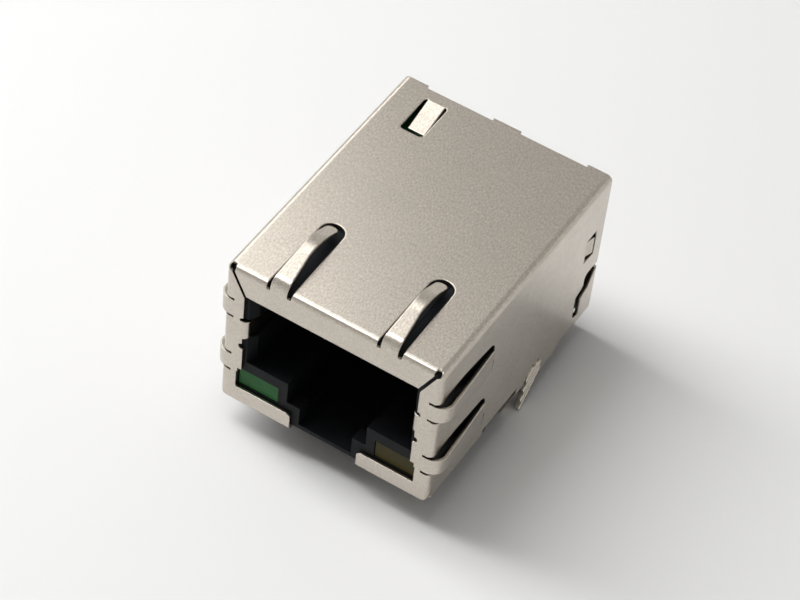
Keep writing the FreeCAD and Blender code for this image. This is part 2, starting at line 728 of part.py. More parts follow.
def rear_shield():
    """Rear cover: a plate with catch flaps inside the side walls and stepped flaps in their cut-outs."""
    inner_low = CATCH_LOW - INNER_FLAP_MARGIN
    inner_high = CATCH_HIGH + INNER_FLAP_MARGIN
    inner_face = HALF - SHEET - FIT
    outer_face = HALF + OUTER_FLAP_PROUD
    plate = prism(
        [
            (inner_face, REAR_PLATE_BOTTOM, CORNER_ROUND),
            (inner_face, PLASTIC_TOP, BEND),
            (-inner_face, PLASTIC_TOP, BEND),
            (-inner_face, REAR_PLATE_BOTTOM, CORNER_ROUND),
        ],
        xz, REAR - SHEET, REAR,
    )
    notch = block(inner_face - FLAP_BEND, HALF + MARGIN, REAR - MARGIN, REAR + MARGIN,
                  inner_low - REAR_TAB_WIDTH / 2, inner_high + REAR_TAB_WIDTH / 2)
    inner_run = CATCH_SETBACK + CATCH_RUN - FLAP_BEND + INNER_FLAP_MARGIN
    inner_flap = strip(
        (inner_face - 3 * FLAP_BEND, REAR), 0, [(2 * FLAP_BEND,), (FLAP_BEND, -90), (inner_run,)], -1, xy,
        inner_low, inner_high,
    )
    catch_low = CATCH_LOW + CATCH_SLOT_BOTTOM
    catch_high = CATCH_HIGH - CATCH_SLOT_TOP
    for low, high in ((CATCH_LOW, catch_low), (catch_high, CATCH_HIGH)):
        inner_flap = inner_flap.cut(block(inner_face - 2 * SHEET, HALF, CATCH_FRONT, CATCH_REAR, low, high))
    catch = strip(
        (inner_face, CATCH_FRONT + FIT), 90 - CATCH_RISE, [(CATCH_RUN - 3 * FIT,)], 1, xy,
        catch_low, catch_high,
    )
    outer_run = OUTER_FLAP_REACH - FLAP_BEND
    outer_flap = strip(
        (outer_face - 3 * FLAP_BEND, REAR), 0, [(2 * FLAP_BEND,), (FLAP_BEND, -90), (outer_run,)], -1, xy,
        OUTER_FLAP_LOW, OUTER_FLAP_HIGH,
    )
    outer_flap = outer_flap.common(prism(outer_flap_outline(), yz, 0, WIDTH))
    cover = plate.cut(both(notch))
    return one_solid(cover.fuse(both(inner_flap) + both(catch) + both(outer_flap)))


def contact_positions():
    """X of each contact, from left to right."""
    return [(index - (CONTACTS - 1) / 2) * CONTACT_PITCH for index in range(CONTACTS)]


def light_pin_positions():
    """X of the right light's two pins."""
    return [LIGHT_CENTRE - LIGHT_PIN_SPACING / 2, LIGHT_CENTRE + LIGHT_PIN_SPACING / 2]


def light_pin_rear():
    """Y of the rear face of a light's pins."""
    return LIGHT_PIN_SETBACK + LIGHT_PIN_WIDTH / 2


def light_pin_top():
    """Height of the top of a light's pins inside the housing."""
    return (LIGHT_BOTTOM + LIGHT_TOP + LIGHT_PIN_WIDTH) / 2


def plug_room():
    """Cavity for the plug, its lead-in and the stepped way for its latch."""
    front = FRONT - MARGIN
    rear = FRONT + CAVITY_DEPTH
    room = block(-CAVITY_HALF, CAVITY_HALF, front, rear, CAVITY_FLOOR, CAVITY_ROOF)
    lead_in = prism(
        [
            (-CAVITY_HALF - LEAD_IN, PLASTIC_FRONT - MARGIN),
            (CAVITY_HALF + LEAD_IN, PLASTIC_FRONT - MARGIN),
            (CAVITY_HALF + LEAD_IN, PLASTIC_FRONT),
            (CAVITY_HALF, PLASTIC_FRONT + LEAD_IN_DEPTH),
            (-CAVITY_HALF, PLASTIC_FRONT + LEAD_IN_DEPTH),
            (-CAVITY_HALF - LEAD_IN, PLASTIC_FRONT),
        ],
        xy, CAVITY_FLOOR, CAVITY_ROOF,
    )
    end = FRONT + LATCH_POCKET_DEPTH
    ledge = block(-LATCH_LEDGE_HALF, LATCH_LEDGE_HALF, front, end, LATCH_LEDGE, CAVITY_ROOF)
    slot = block(-LATCH_SLOT_HALF, LATCH_SLOT_HALF, front, end, LATCH_FLOOR, CAVITY_ROOF)
    lip = FRONT + LATCH_LIP_DEPTH
    pocket = block(-LATCH_POCKET_HALF, LATCH_POCKET_HALF, lip, end, LATCH_POCKET_FLOOR, CAVITY_ROOF)
    return [room, lead_in, ledge, slot, pocket]


def light_pocket():
    """Room for the right light and its two pins."""
    half = LIGHT_WIDTH / 2 + FIT
    rear = FRONT + SHEET + 2 * FIT + LIGHT_LENGTH + FIT
    left, right = LIGHT_CENTRE - half, LIGHT_CENTRE + half
    pocket = [block(left, right, FRONT - MARGIN, rear, LIGHT_BOTTOM - FIT, LIGHT_TOP + FIT)]
    top = light_pin_top()
    for x in light_pin_positions():
        left = x - LIGHT_PIN_WIDTH / 2 - FIT
        right = x + LIGHT_PIN_WIDTH / 2 + FIT
        bottom = top - LIGHT_PIN_WIDTH - FIT
        pocket.append(block(left, right, rear - MARGIN, HOUSING_REAR + MARGIN, bottom, top + FIT))
        front = light_pin_rear() - LIGHT_PIN_BEND - FIT
        pocket.append(block(left, right, front, HOUSING_REAR + MARGIN, 0, top + FIT))
    return pocket


def comb_slots(front, rear, bottom, top):
    """One slot for each contact."""
    half = COMB_SLOT / 2
    return [block(x - half, x + half, front, rear, bottom, top) for x in contact_positions()]


def stand_off(x, y):
    """Pad that sets the plastic down on the board."""
    half = PAD_SIZE / 2
    return block(x - half, x + half, y - half, y + half, 0, STAND_OFF + FIT)


def peg():
    """Right locating peg."""
    shaft = Part.makeCylinder(PEG_RADIUS, PEG_REACH + STAND_OFF + FIT, V(PEG_X, 0, -PEG_REACH))
    rims = [edge for edge in shaft.Edges if len(edge.Vertexes) == 1]
    tip = [edge for edge in rims if abs(edge.CenterOfMass.z + PEG_REACH) < 1e-6]
    return shaft.makeChamfer(PEG_CHAMFER, tip)


def housing():
    """Moulded front body with the plug's cavity."""
    body = block(-PLASTIC_HALF, PLASTIC_HALF, PLASTIC_FRONT, HOUSING_REAR, STAND_OFF, PLASTIC_TOP)
    upright = [e for e in body.Edges if abs(e.CenterOfMass.z - (STAND_OFF + PLASTIC_TOP) / 2) < 1e-6]
    level = [e for e in body.Edges if abs(e.CenterOfMass.z - (STAND_OFF + PLASTIC_TOP) / 2) > 1e-6]
    folds = [e for e in level if e.CenterOfMass.z > STAND_OFF or e.CenterOfMass.y < PLASTIC_FRONT + 1e-6]
    front_edges = [e for e in upright + folds if e.CenterOfMass.y < HOUSING_REAR - 1e-6]
    body = body.makeFillet(BEND - SHEET, front_edges)
    waste = plug_room()
    waste += light_pocket()
    waste += [mirrored(room) for room in light_pocket()]
    earth = block(CAVITY_HALF - FIT, EARTH_HALF + BEND + SHEET + 2 * FIT, FRONT - MARGIN,
                  FRONT + EARTH_POCKET_DEPTH, EARTH_LOW - 2 * FIT, EARTH_HIGH + 2 * FIT)
    waste += both(earth)
    block_half = BLOCK_HALF + FIT
    waste.append(block(-block_half, block_half, FRONT + BLOCK_FRONT - FIT, HOUSING_REAR + MARGIN,
                       CAVITY_ROOF - FIT, PLASTIC_TOP + MARGIN))
    key_low = CAVITY_ROOF + BLOCK_KEY_HEIGHT - FIT
    key_half = block_half + BLOCK_KEY
    waste.append(block(-key_half, key_half, FRONT + BLOCK_FRONT + MARGIN, HOUSING_REAR + MARGIN,
                       key_low, key_low + BLOCK_KEY_HEIGHT + 2 * FIT))
    rear = FRONT + CAVITY_DEPTH
    waste += comb_slots(rear - MARGIN, rear + COMB_DEPTH, COMB_BOTTOM, CAVITY_ROOF + FIT)
    body = body.cut(waste)
    pads = both(stand_off(PLASTIC_HALF - PAD_SIZE, FRONT + 2 * PAD_SIZE))
    return one_solid(body.fuse(pads + both(peg())))


def contact_block():
    """Insert in the housing's roof that holds the contacts in line."""
    front = FRONT + BLOCK_FRONT
    body = block(-BLOCK_HALF, BLOCK_HALF, front, HOUSING_REAR, CAVITY_ROOF, BLOCK_TOP)
    key_low = CAVITY_ROOF + BLOCK_KEY_HEIGHT
    key_half = BLOCK_HALF + BLOCK_KEY
    key = block(-key_half, key_half, front + MARGIN + FIT, HOUSING_REAR, key_low, key_low + BLOCK_KEY_HEIGHT)
    loop = FRONT + CONTACT_LOOP_DEPTH
    leg_top = CONTACT_TOP - 2 * CONTACT_LOOP_RADIUS + CONTACT_THICKNESS
    leg_run = (leg_top - CAVITY_ROOF) / math.tan(math.radians(CONTACT_SLOPE))
    free_from = loop + 2 * CONTACT_LOOP_RADIUS + leg_run
    waste = comb_slots(loop - CONTACT_CLEARANCE, free_from, CAVITY_ROOF - MARGIN, CONTACT_TOP + FIT)
    half = CONTACT_WIDTH / 2 + SLIDE
    for x in contact_positions():
        waste.append(block(x - half, x + half, free_from - FIT, HOUSING_REAR + MARGIN,
                           BOARD_TOP - SLIDE, CONTACT_TOP + SLIDE))
    return one_solid(body.fuse(key).cut(waste))


def contact(x):
    """Spring wire: along the roof, round a tight loop at the front and back down into the cavity."""
    turn_at = FRONT + CONTACT_LOOP_DEPTH + CONTACT_LOOP_RADIUS
    moves = [(CONTACT_TAIL - turn_at,), (CONTACT_LOOP_RADIUS, 180 - CONTACT_SLOPE), (CONTACT_FREE_RUN,)]
    low = x - CONTACT_WIDTH / 2
    high = x + CONTACT_WIDTH / 2
    return strip((CONTACT_TAIL, CONTACT_TOP), 180, moves, 1, yz, low, high, CONTACT_THICKNESS)


def light():
    """Right indicator light: a moulded block behind the front face."""
    half = LIGHT_WIDTH / 2
    front = FRONT + SHEET + 2 * FIT
    rear = front + LIGHT_LENGTH
    body = block(LIGHT_CENTRE - half, LIGHT_CENTRE + half, front, rear, LIGHT_BOTTOM, LIGHT_TOP)
    rear_edges = [e for e in body.Edges if abs(e.CenterOfMass.y - rear) < 1e-6]
    return body.makeFillet(LIGHT_ROUND, rear_edges)


def light_pin(x):
    """Pin of a light: straight back through the housing, then down to the board."""
    start = FRONT + SHEET + 2 * FIT + LIGHT_LENGTH
    run = light_pin_rear() - LIGHT_PIN_BEND - start
    drop = light_pin_top() - LIGHT_PIN_BEND + TAIL_REACH
    moves = [(run,), (LIGHT_PIN_BEND, -90), (drop,)]
    half = LIGHT_PIN_WIDTH / 2
    return strip((start, light_pin_top()), 0, moves, -1, yz, x - half, x + half, LIGHT_PIN_WIDTH)


def pin_positions():
    """X of each board pin, with the depth row that it drops in."""
    middle = (CONTACTS - 1) / 2
    return [((index - middle) * PIN_SPACING, PIN_ROWS[index % 2]) for index in range(CONTACTS)]


def board_pin(x, row):
    """Stamped pin: down the case's rear face, forward under it and down into the board."""
    top = BOARD_TOP + PIN_TOP_STAND
    inner = PIN_THICKNESS * 2 / 3
    outer = inner + PIN_THICKNESS
    run = PIN_OUTER - outer - row - PIN_THICKNESS / 2 - inner
    moves = [
        (top - PIN_RUN_HEIGHT - outer,),
        (outer, -90),
        (run,),
        (inner, 90),
        (PIN_RUN_HEIGHT - inner + TAIL_REACH,),
    ]
    half = PIN_WIDTH / 2
    return strip((PIN_OUTER, top), 270, moves, -1, yz, x - half, x + half, PIN_THICKNESS)


def circuit_board():
    """Small board over the transformers, with a hole for each pin."""
    board = block(-BOARD_HALF, BOARD_HALF, BOARD_FRONT, BOARD_REAR, BOARD_BOTTOM, BOARD_TOP)
    half = PIN_WIDTH / 2 + FIT
    front = PIN_OUTER - PIN_THICKNESS - FIT
    holes = [
        block(x - half, x + half, front, PIN_OUTER + FIT, BOARD_BOTTOM - MARGIN, BOARD_TOP + MARGIN)
        for x, row in pin_positions()
    ]
    return one_solid(board.cut(holes))


def cell_width():
    """Width of one transformer cell."""
    return (2 * CASE_HALF - (CASE_COLUMNS + 1) * CASE_WALL) / CASE_COLUMNS


def cell_centres():
    """X of each transformer cell's centre."""
    step = cell_width() + CASE_WALL
    return [(index - (CASE_COLUMNS - 1) / 2) * step for index in range(CASE_COLUMNS)]


def cell_span():
    """Front and rear of the transformer cells."""
    return CASE_FRONT + CASE_END_WALL, PIN_OUTER - PIN_THICKNESS - FIT - CASE_REAR_WALL


def transformer_case():
    """Moulded case behind the housing, with a cell for each transformer and grooves for the pins."""
    body = block(-CASE_HALF, CASE_HALF, CASE_FRONT, CASE_REAR, STAND_OFF, CASE_TOP)
    front, rear = cell_span()
    half_cell = cell_width() / 2
    waste = []
    for x in cell_centres():
        waste.append(block(x - half_cell, x + half_cell, front, rear, CASE_FLOOR, CASE_TOP + MARGIN))
    half = PIN_WIDTH / 2 + FIT
    ceiling = PIN_RUN_HEIGHT + PIN_THICKNESS + 2 * FIT
    for x, row in pin_positions():
        waste.append(block(x - half, x + half, PIN_OUTER - PIN_THICKNESS - FIT, CASE_REAR + MARGIN,
                           STAND_OFF - MARGIN, CASE_TOP + MARGIN))
        waste.append(block(x - half, x + half, row - PIN_THICKNESS / 2 - FIT, CASE_REAR,
                           STAND_OFF - MARGIN, ceiling))
    body = body.cut(waste)
    pads = both(stand_off(CASE_HALF - PAD_SIZE, CASE_REAR - PAD_SIZE))
    return one_solid(body.fuse(pads))


def core_centre(x):
    """Middle of the core in the cell at x."""
    front, rear = cell_span()
    return V(x, (front + rear) / 2, CASE_FLOOR + FIT + WINDING_WIRE + WINDING_GAP + CORE_HEIGHT / 2)


def transformer_core(x):
    """Ferrite ring with rounded edges."""
    base = core_centre(x) - V(0, 0, CORE_HEIGHT / 2)
    ring = Part.makeCylinder(CORE_RADIUS, CORE_HEIGHT, base)
    ring = ring.cut(Part.makeCylinder(CORE_BORE_RADIUS, CORE_HEIGHT, base))
    return ring.makeChamfer(CORE_EDGE, [e for e in ring.Edges if len(e.Vertexes) == 1])


def bar(first, last, width):
    """Square bar between two points, grown by half its width at both ends."""
    along = (last - first).normalize()
    length = first.distanceToPoint(last) + width
    bar_shape = Part.makeBox(length, width, width, V(-width / 2, -width / 2, -width / 2))
    bar_shape.Placement = FreeCAD.Placement(first, FreeCAD.Rotation(V(1, 0, 0), along))
    return bar_shape


def transformer_winding(x):
    """Enamelled wire wound round the core, each turn stepping on to the next."""
    half = WINDING_WIRE / 2
    outer = CORE_RADIUS + half + WINDING_GAP
    inner = CORE_BORE_RADIUS - half - WINDING_GAP
    rise = CORE_HEIGHT / 2 + half + WINDING_GAP
    corners = [(outer, -rise), (outer, rise), (inner, rise), (inner, -rise)]
    centre = core_centre(x)
    points = []
    for turn in range(WINDING_TURNS):
        start = turn * WINDING_SPAN / WINDING_TURNS
        for index, (radius, height) in enumerate(corners):
            advance = 0 if index < 3 else WINDING_SPAN / WINDING_TURNS / 2
            angle = math.radians(start + advance)
            points.append(centre + V(radius * math.cos(angle), radius * math.sin(angle), height))
    bars = [bar(first, last, WINDING_WIRE) for first, last in zip(points, points[1:])]
    lead_top = BOARD_BOTTOM - WINDING_GAP
    for end in (points[0], points[-1]):
        foot = V(end.x, end.y, centre.z + rise)
        bars.append(bar(V(end.x, end.y, end.z), V(foot.x, foot.y, lead_top - half), WINDING_WIRE))
    return one_solid(bars[0].fuse(bars[1:]))


def chip(size, x, front):
    """Small block component lying on the circuit board."""
    width, length, height = size
    body = block(x - width / 2, x + width / 2, front, front + length, BOARD_TOP, BOARD_TOP + height)
    return body.makeFillet(CAP_ROUND, [e for e in body.Edges if e.CenterOfMass.z > BOARD_TOP + height - 1e-6])


def build():
    """Every piece of the jack, by name."""
    pieces = {
        "front_shield": front_shield(),
        "rear_shield": rear_shield(),
        "housing": housing(),
        "contact_block": contact_block(),
        "circuit_board": circuit_board(),
        "transformer_case": transformer_case(),
        "light_right": light(),
        "light_left": mirrored(light()),
    }
    for index, x in enumerate(contact_positions()):
        pieces["contact_%d" % (index + 1)] = contact(x)
    for index, (x, row) in enumerate(pin_positions()):
        pieces["board_pin_%d" % (index + 1)] = board_pin(x, row)
    for index, x in enumerate(light_pin_positions()):
        pieces["light_pin_right_%d" % (index + 1)] = light_pin(x)
        pieces["light_pin_left_%d" % (index + 1)] = mirrored(light_pin(x))
    for index, x in enumerate(cell_centres()):
        pieces["transformer_core_%d" % (index + 1)] = transformer_core(x)
        pieces["transformer_winding_%d" % (index + 1)] = transformer_winding(x)
    for index in range(RESISTORS):
        x = (index - (RESISTORS - 1) / 2) * RESISTOR_PITCH
        pieces["resistor_%d" % (index + 1)] = chip(RESISTOR_SIZE, x, RESISTOR_FRONT)
    capacitor_x = BOARD_HALF - CAPACITOR_EDGE_GAP - CAPACITOR_SIZE[0] / 2
    pieces["capacitor"] = chip(CAPACITOR_SIZE, capacitor_x, CAPACITOR_FRONT)
    return pieces


def main():
    """Write one file for each piece."""
    os.makedirs("parts", exist_ok=True)
    for name, shape in build().items():
        shape.exportStep("parts/" + name + ".step")


main()
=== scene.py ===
"""Looks of a shielded modular jack for a printed board, seen from above and in front.

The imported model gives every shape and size. This script dresses each piece in its finish, and sets the jack on a
pale table in soft light from the left. Lengths in the classes are in millimetres.
"""

import json
import logging
import math
from dataclasses import dataclass, field
from typing import Any

import bpy
from mathutils import Matrix, Vector

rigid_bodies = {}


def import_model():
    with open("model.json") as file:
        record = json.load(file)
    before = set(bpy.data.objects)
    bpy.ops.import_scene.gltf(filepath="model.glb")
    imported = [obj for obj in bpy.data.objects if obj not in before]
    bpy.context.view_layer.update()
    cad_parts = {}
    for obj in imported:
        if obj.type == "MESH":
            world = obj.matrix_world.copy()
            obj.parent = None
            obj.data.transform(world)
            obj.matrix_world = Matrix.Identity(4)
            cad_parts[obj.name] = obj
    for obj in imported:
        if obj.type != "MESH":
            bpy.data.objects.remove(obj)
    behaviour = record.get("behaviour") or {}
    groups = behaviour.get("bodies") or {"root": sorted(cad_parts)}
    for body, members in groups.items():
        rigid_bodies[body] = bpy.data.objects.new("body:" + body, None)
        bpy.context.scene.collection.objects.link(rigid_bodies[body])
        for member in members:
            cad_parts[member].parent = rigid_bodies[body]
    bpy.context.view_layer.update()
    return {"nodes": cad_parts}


LOG = logging.getLogger("jack")
MM = 0.001

# Sockets of a mix node that mixes colours.
MIX_SHARE, MIX_FIRST, MIX_SECOND, MIX_RESULT = 0, 6, 7, 2
# Where most of a noise texture's values lie.
NOISE_LOW, NOISE_HIGH = 0.3, 0.7
# Rays that round an edge: many where it shows large and bright, few elsewhere.
FINE_ROUNDING, PLAIN_ROUNDING = 16, 4


def linear(colour: str) -> tuple[float, float, float, float]:
    """Turn a colour as written into the linear values that shaders take.

    Args:
        colour: sRGB colour as "#rrggbb".

    Returns:
        Linear red, green and blue with an alpha of 1.
    """
    channels = [int(colour[index:index + 2], 16) / 255 for index in (1, 3, 5)]
    bent = [c / 12.92 if c <= 0.04045 else ((c + 0.055) / 1.055) ** 2.4 for c in channels]
    return (bent[0], bent[1], bent[2], 1.0)


def per_size(size: float) -> float:
    """Texture scale whose features have a given size.

    Args:
        size: feature size in millimetres.

    Returns:
        Features per metre.
    """
    return 1 / (size * MM)


def add_node(tree: bpy.types.NodeTree, kind: str, **settings: Any) -> bpy.types.Node:
    """Add one node with its settings and links.

    Args:
        tree: the node tree that takes the node.
        kind: the node's type.
        settings: attributes by name, and under "inputs" a dict from socket name or number to a value or an output.

    Returns:
        The new node.
    """
    node = tree.nodes.new(kind)
    inputs = settings.pop("inputs", {})
    for name, value in settings.items():
        setattr(node, name, value)
    for socket, value in inputs.items():
        if isinstance(value, bpy.types.NodeSocket):
            tree.links.new(value, node.inputs[socket])
        else:
            node.inputs[socket].default_value = value
    return node


@dataclass(frozen=True)
class Finish:
    """A material by its common name and how its surface was made."""

    name: str
    colour: str

    def shade(self, tree: bpy.types.NodeTree) -> bpy.types.Node:
        """Add the surface's nodes.

        Args:
            tree: the material's empty node tree.

        Returns:
            The shader node that faces the output.
        """
        raise NotImplementedError

    def material(self) -> bpy.types.Material:
        """Make the material, once for each finish.

        Returns:
            The material that pieces in this finish share.
        """
        known = bpy.data.materials.get(self.name)
        if known is not None:
            return known
        made = bpy.data.materials.new(self.name)
        made.use_nodes = True
        made.node_tree.nodes.clear()
        shader = self.shade(made.node_tree)
        add_node(made.node_tree, "ShaderNodeOutputMaterial", inputs={"Surface": shader.outputs[0]})
        made.diffuse_color = linear(self.colour)
        return made


@dataclass(frozen=True)
class PlatedSheet(Finish):
    """Phosphor bronze sheet, rolled and nickel plated: a warm grey satin with fine rolling lines.

    The real lines are about 0.02 mm apart, too fine to show, so line_spacing is coarser. The shade values below say
    how far into a slit or fold the colour is darkened toward near black, as painted shade where the sheet is shut in.
    """

    stain: str = "#c0b8ad"
    along_rolls: tuple[float, float, float] = (1.0, 0.4, 1.0)
    roughness: float = 0.25
    roughness_play: float = 0.02
    line_spacing: float = 0.09
    line_detail: float = 1.0
    line_depth: float = 0.12
    mottle_size: float = 1.8
    mottle_detail: float = 4.0
    mottle_breakup: float = 0.6
    grain_height: float = 0.0008
    grain_strength: float = 0.6
    edge_radius: float = 0.12
    # Painted shade: these five values darken the colour toward near black in slits and folds, by how shut in a point
    # is.
    painted_shade_reach: float = 0.3
    painted_shade_samples: int = 16
    painted_shade_full_at: float = 0.35
    painted_shade_none_at: float = 0.85
    painted_shade_colour: str = "#2b2622"

    def shade(self, tree: bpy.types.NodeTree) -> bpy.types.Node:
        """Rolling lines and a faint plating mottle, over a metal with rounded edges and painted shade in its slits and
        folds.

        Args:
            tree: the material's empty node tree.

        Returns:
            The metal's shader node.
        """
        place = add_node(tree, "ShaderNodeTexCoord")
        stretched = add_node(tree, "ShaderNodeMapping", inputs={
            "Vector": place.outputs["Object"], "Scale": self.along_rolls})
        lines = add_node(tree, "ShaderNodeTexNoise", inputs={
            "Vector": stretched.outputs[0], "Scale": per_size(self.line_spacing), "Detail": self.line_detail})
        mottle = add_node(tree, "ShaderNodeTexNoise", inputs={
            "Vector": place.outputs["Object"], "Scale": per_size(self.mottle_size), "Detail": self.mottle_detail,
            "Roughness": self.mottle_breakup})
        tint = add_node(tree, "ShaderNodeMix", data_type="RGBA", inputs={
            MIX_SHARE: mottle.outputs[0], MIX_FIRST: linear(self.colour), MIX_SECOND: linear(self.stain)})
        drawn = add_node(tree, "ShaderNodeMapRange", inputs={
            "Value": lines.outputs[0], "From Min": NOISE_LOW, "From Max": NOISE_HIGH,
            "To Min": 1.0 - self.line_depth, "To Max": 1.0 + self.line_depth})
        lined = add_node(tree, "ShaderNodeMix", data_type="RGBA", blend_type="MULTIPLY", inputs={
            MIX_SHARE: 1.0, MIX_FIRST: tint.outputs[MIX_RESULT], MIX_SECOND: drawn.outputs[0]})
        # Painted shade: ambient occlusion darkens the colour toward near black in slits and folds, where shade falls.
        occlusion = add_node(tree, "ShaderNodeAmbientOcclusion", samples=self.painted_shade_samples, inputs={
            "Distance": self.painted_shade_reach * MM})
        unshaded_share = add_node(tree, "ShaderNodeMapRange", inputs={
            "Value": occlusion.outputs["AO"], "From Min": self.painted_shade_full_at, "From Max": self.painted_shade_none_at})
        wear_and_painted_shade = add_node(tree, "ShaderNodeMix", data_type="RGBA", inputs={
            MIX_SHARE: unshaded_share.outputs[0], MIX_FIRST: linear(self.painted_shade_colour), MIX_SECOND: lined.outputs[MIX_RESULT]})
        rough = add_node(tree, "ShaderNodeMapRange", inputs={
            "Value": mottle.outputs[0], "From Min": NOISE_LOW, "From Max": NOISE_HIGH,
            "To Min": self.roughness - self.roughness_play, "To Max": self.roughness + self.roughness_play})
        rounded = add_node(tree, "ShaderNodeBevel", samples=FINE_ROUNDING, inputs={
            "Radius": self.edge_radius * MM})
        grain = add_node(tree, "ShaderNodeBump", inputs={
            "Strength": self.grain_strength, "Distance": self.grain_height * MM, "Height": lines.outputs[0],
            "Normal": rounded.outputs[0]})
        return add_node(tree, "ShaderNodeBsdfPrincipled", inputs={
            "Base Color": wear_and_painted_shade.outputs[MIX_RESULT], "Metallic": 1.0, "Roughness": rough.outputs[0],
            "Normal": grain.outputs[0]})


@dataclass(frozen=True)
class MouldedPlastic(Finish):
    """Plastic with glass in it, moulded or coated: dull and slightly uneven, with a fine skin.

    The pits of a spark-eroded mould are about 0.03 mm wide, too fine to show, so skin_size is coarser.
    """

    fleck: str = "#17191c"
    roughness: float = 0.5
    roughness_play: float = 0.06
    ior: float = 1.5
    shine: float = 0.12
    skin_size: float = 0.12
    skin_detail: float = 2.0
    skin_height: float = 0.004
    skin_strength: float = 0.5
    cloud_per_skin: float = 12.0
    cloud_detail: float = 3.0
    edge_radius: float = 0.06

    def shade(self, tree: bpy.types.NodeTree) -> bpy.types.Node:
        """A fine skin with paler flecks where the glass shows.

        Args:
            tree: the material's empty node tree.

        Returns:
            The plastic's shader node.
        """
        place = add_node(tree, "ShaderNodeTexCoord")
        skin = add_node(tree, "ShaderNodeTexNoise", inputs={
            "Vector": place.outputs["Object"], "Scale": per_size(self.skin_size), "Detail": self.skin_detail})
        cloud = add_node(tree, "ShaderNodeTexNoise", inputs={
            "Vector": place.outputs["Object"], "Scale": per_size(self.skin_size * self.cloud_per_skin),
            "Detail": self.cloud_detail})
        tint = add_node(tree, "ShaderNodeMix", data_type="RGBA", inputs={
            MIX_SHARE: cloud.outputs[0], MIX_FIRST: linear(self.colour), MIX_SECOND: linear(self.fleck)})
        rough = add_node(tree, "ShaderNodeMapRange", inputs={
            "Value": cloud.outputs[0], "From Min": NOISE_LOW, "From Max": NOISE_HIGH,
            "To Min": self.roughness - self.roughness_play, "To Max": self.roughness + self.roughness_play})
        rounded = add_node(tree, "ShaderNodeBevel", samples=PLAIN_ROUNDING, inputs={
            "Radius": self.edge_radius * MM})
        bump = add_node(tree, "ShaderNodeBump", inputs={
            "Strength": self.skin_strength, "Distance": self.skin_height * MM, "Height": skin.outputs[0],
            "Normal": rounded.outputs[0]})
        return add_node(tree, "ShaderNodeBsdfPrincipled", inputs={
            "Base Color": tint.outputs[MIX_RESULT], "Roughness": rough.outputs[0], "IOR": self.ior,
            "Specular IOR Level": self.shine, "Normal": bump.outputs[0]})


@dataclass(frozen=True)
class TintedEpoxy(Finish):
    """Epoxy, cast and dyed: dark when unlit, smooth, with cloudy depth."""

    deep: str = "#101510"
    deepest: float = 0.35
    roughness: float = 0.28
    ior: float = 1.5
    shine: float = 0.12
    cloud_size: float = 0.9
    cloud_detail: float = 2.0
    edge_radius: float = 0.08

    def shade(self, tree: bpy.types.NodeTree) -> bpy.types.Node:
        """Dyed resin with a soft cloud of deeper dye in it.

        Args:
            tree: the material's empty node tree.

        Returns:
            The resin's shader node.
        """
        place = add_node(tree, "ShaderNodeTexCoord")
        cloud = add_node(tree, "ShaderNodeTexNoise", inputs={
            "Vector": place.outputs["Object"], "Scale": per_size(self.cloud_size), "Detail": self.cloud_detail})
        share = add_node(tree, "ShaderNodeMapRange", inputs={
            "Value": cloud.outputs[0], "From Min": NOISE_LOW, "From Max": NOISE_HIGH,
            "To Min": 0.0, "To Max": self.deepest})
        tint = add_node(tree, "ShaderNodeMix", data_type="RGBA", inputs={
            MIX_SHARE: share.outputs[0], MIX_FIRST: linear(self.colour), MIX_SECOND: linear(self.deep)})
        rounded = add_node(tree, "ShaderNodeBevel", samples=PLAIN_ROUNDING, inputs={
            "Radius": self.edge_radius * MM})
        return add_node(tree, "ShaderNodeBsdfPrincipled", inputs={
            "Base Color": tint.outputs[MIX_RESULT], "Roughness": self.roughness, "IOR": self.ior,
            "Specular IOR Level": self.shine, "Normal": rounded.outputs[0]})


@dataclass(frozen=True)
class DrawnMetal(Finish):
    """Wire or stamped strip, drawn and plated: bright along its length, with faint draw lines.

    The real lines are about 0.01 mm apart, too fine to show, so line_spacing is coarser.
    """

    wear_and_painted_shade: str = "#8a8a86"
    roughness: float = 0.25
    line_dulling: float = 0.12
    line_spacing: float = 0.05
    line_detail: float = 2.0
    edge_radius: float = 0.03

    def shade(self, tree: bpy.types.NodeTree) -> bpy.types.Node:
        """Draw lines in colour and gloss.

        Args:
            tree: the material's empty node tree.

        Returns:
            The metal's shader node.
        """
        place = add_node(tree, "ShaderNodeTexCoord")
        lines = add_node(tree, "ShaderNodeTexNoise", inputs={
            "Vector": place.outputs["Object"], "Scale": per_size(self.line_spacing), "Detail": self.line_detail})
        tint = add_node(tree, "ShaderNodeMix", data_type="RGBA", inputs={
            MIX_SHARE: lines.outputs[0], MIX_FIRST: linear(self.colour), MIX_SECOND: linear(self.wear_and_painted_shade)})
        rough = add_node(tree, "ShaderNodeMapRange", inputs={
            "Value": lines.outputs[0], "From Min": NOISE_LOW, "From Max": NOISE_HIGH,
            "To Min": self.roughness, "To Max": self.roughness + self.line_dulling})
        rounded = add_node(tree, "ShaderNodeBevel", samples=PLAIN_ROUNDING, inputs={
            "Radius": self.edge_radius * MM})
        return add_node(tree, "ShaderNodeBsdfPrincipled", inputs={
            "Base Color": tint.outputs[MIX_RESULT], "Metallic": 1.0, "Roughness": rough.outputs[0],
            "Normal": rounded.outputs[0]})


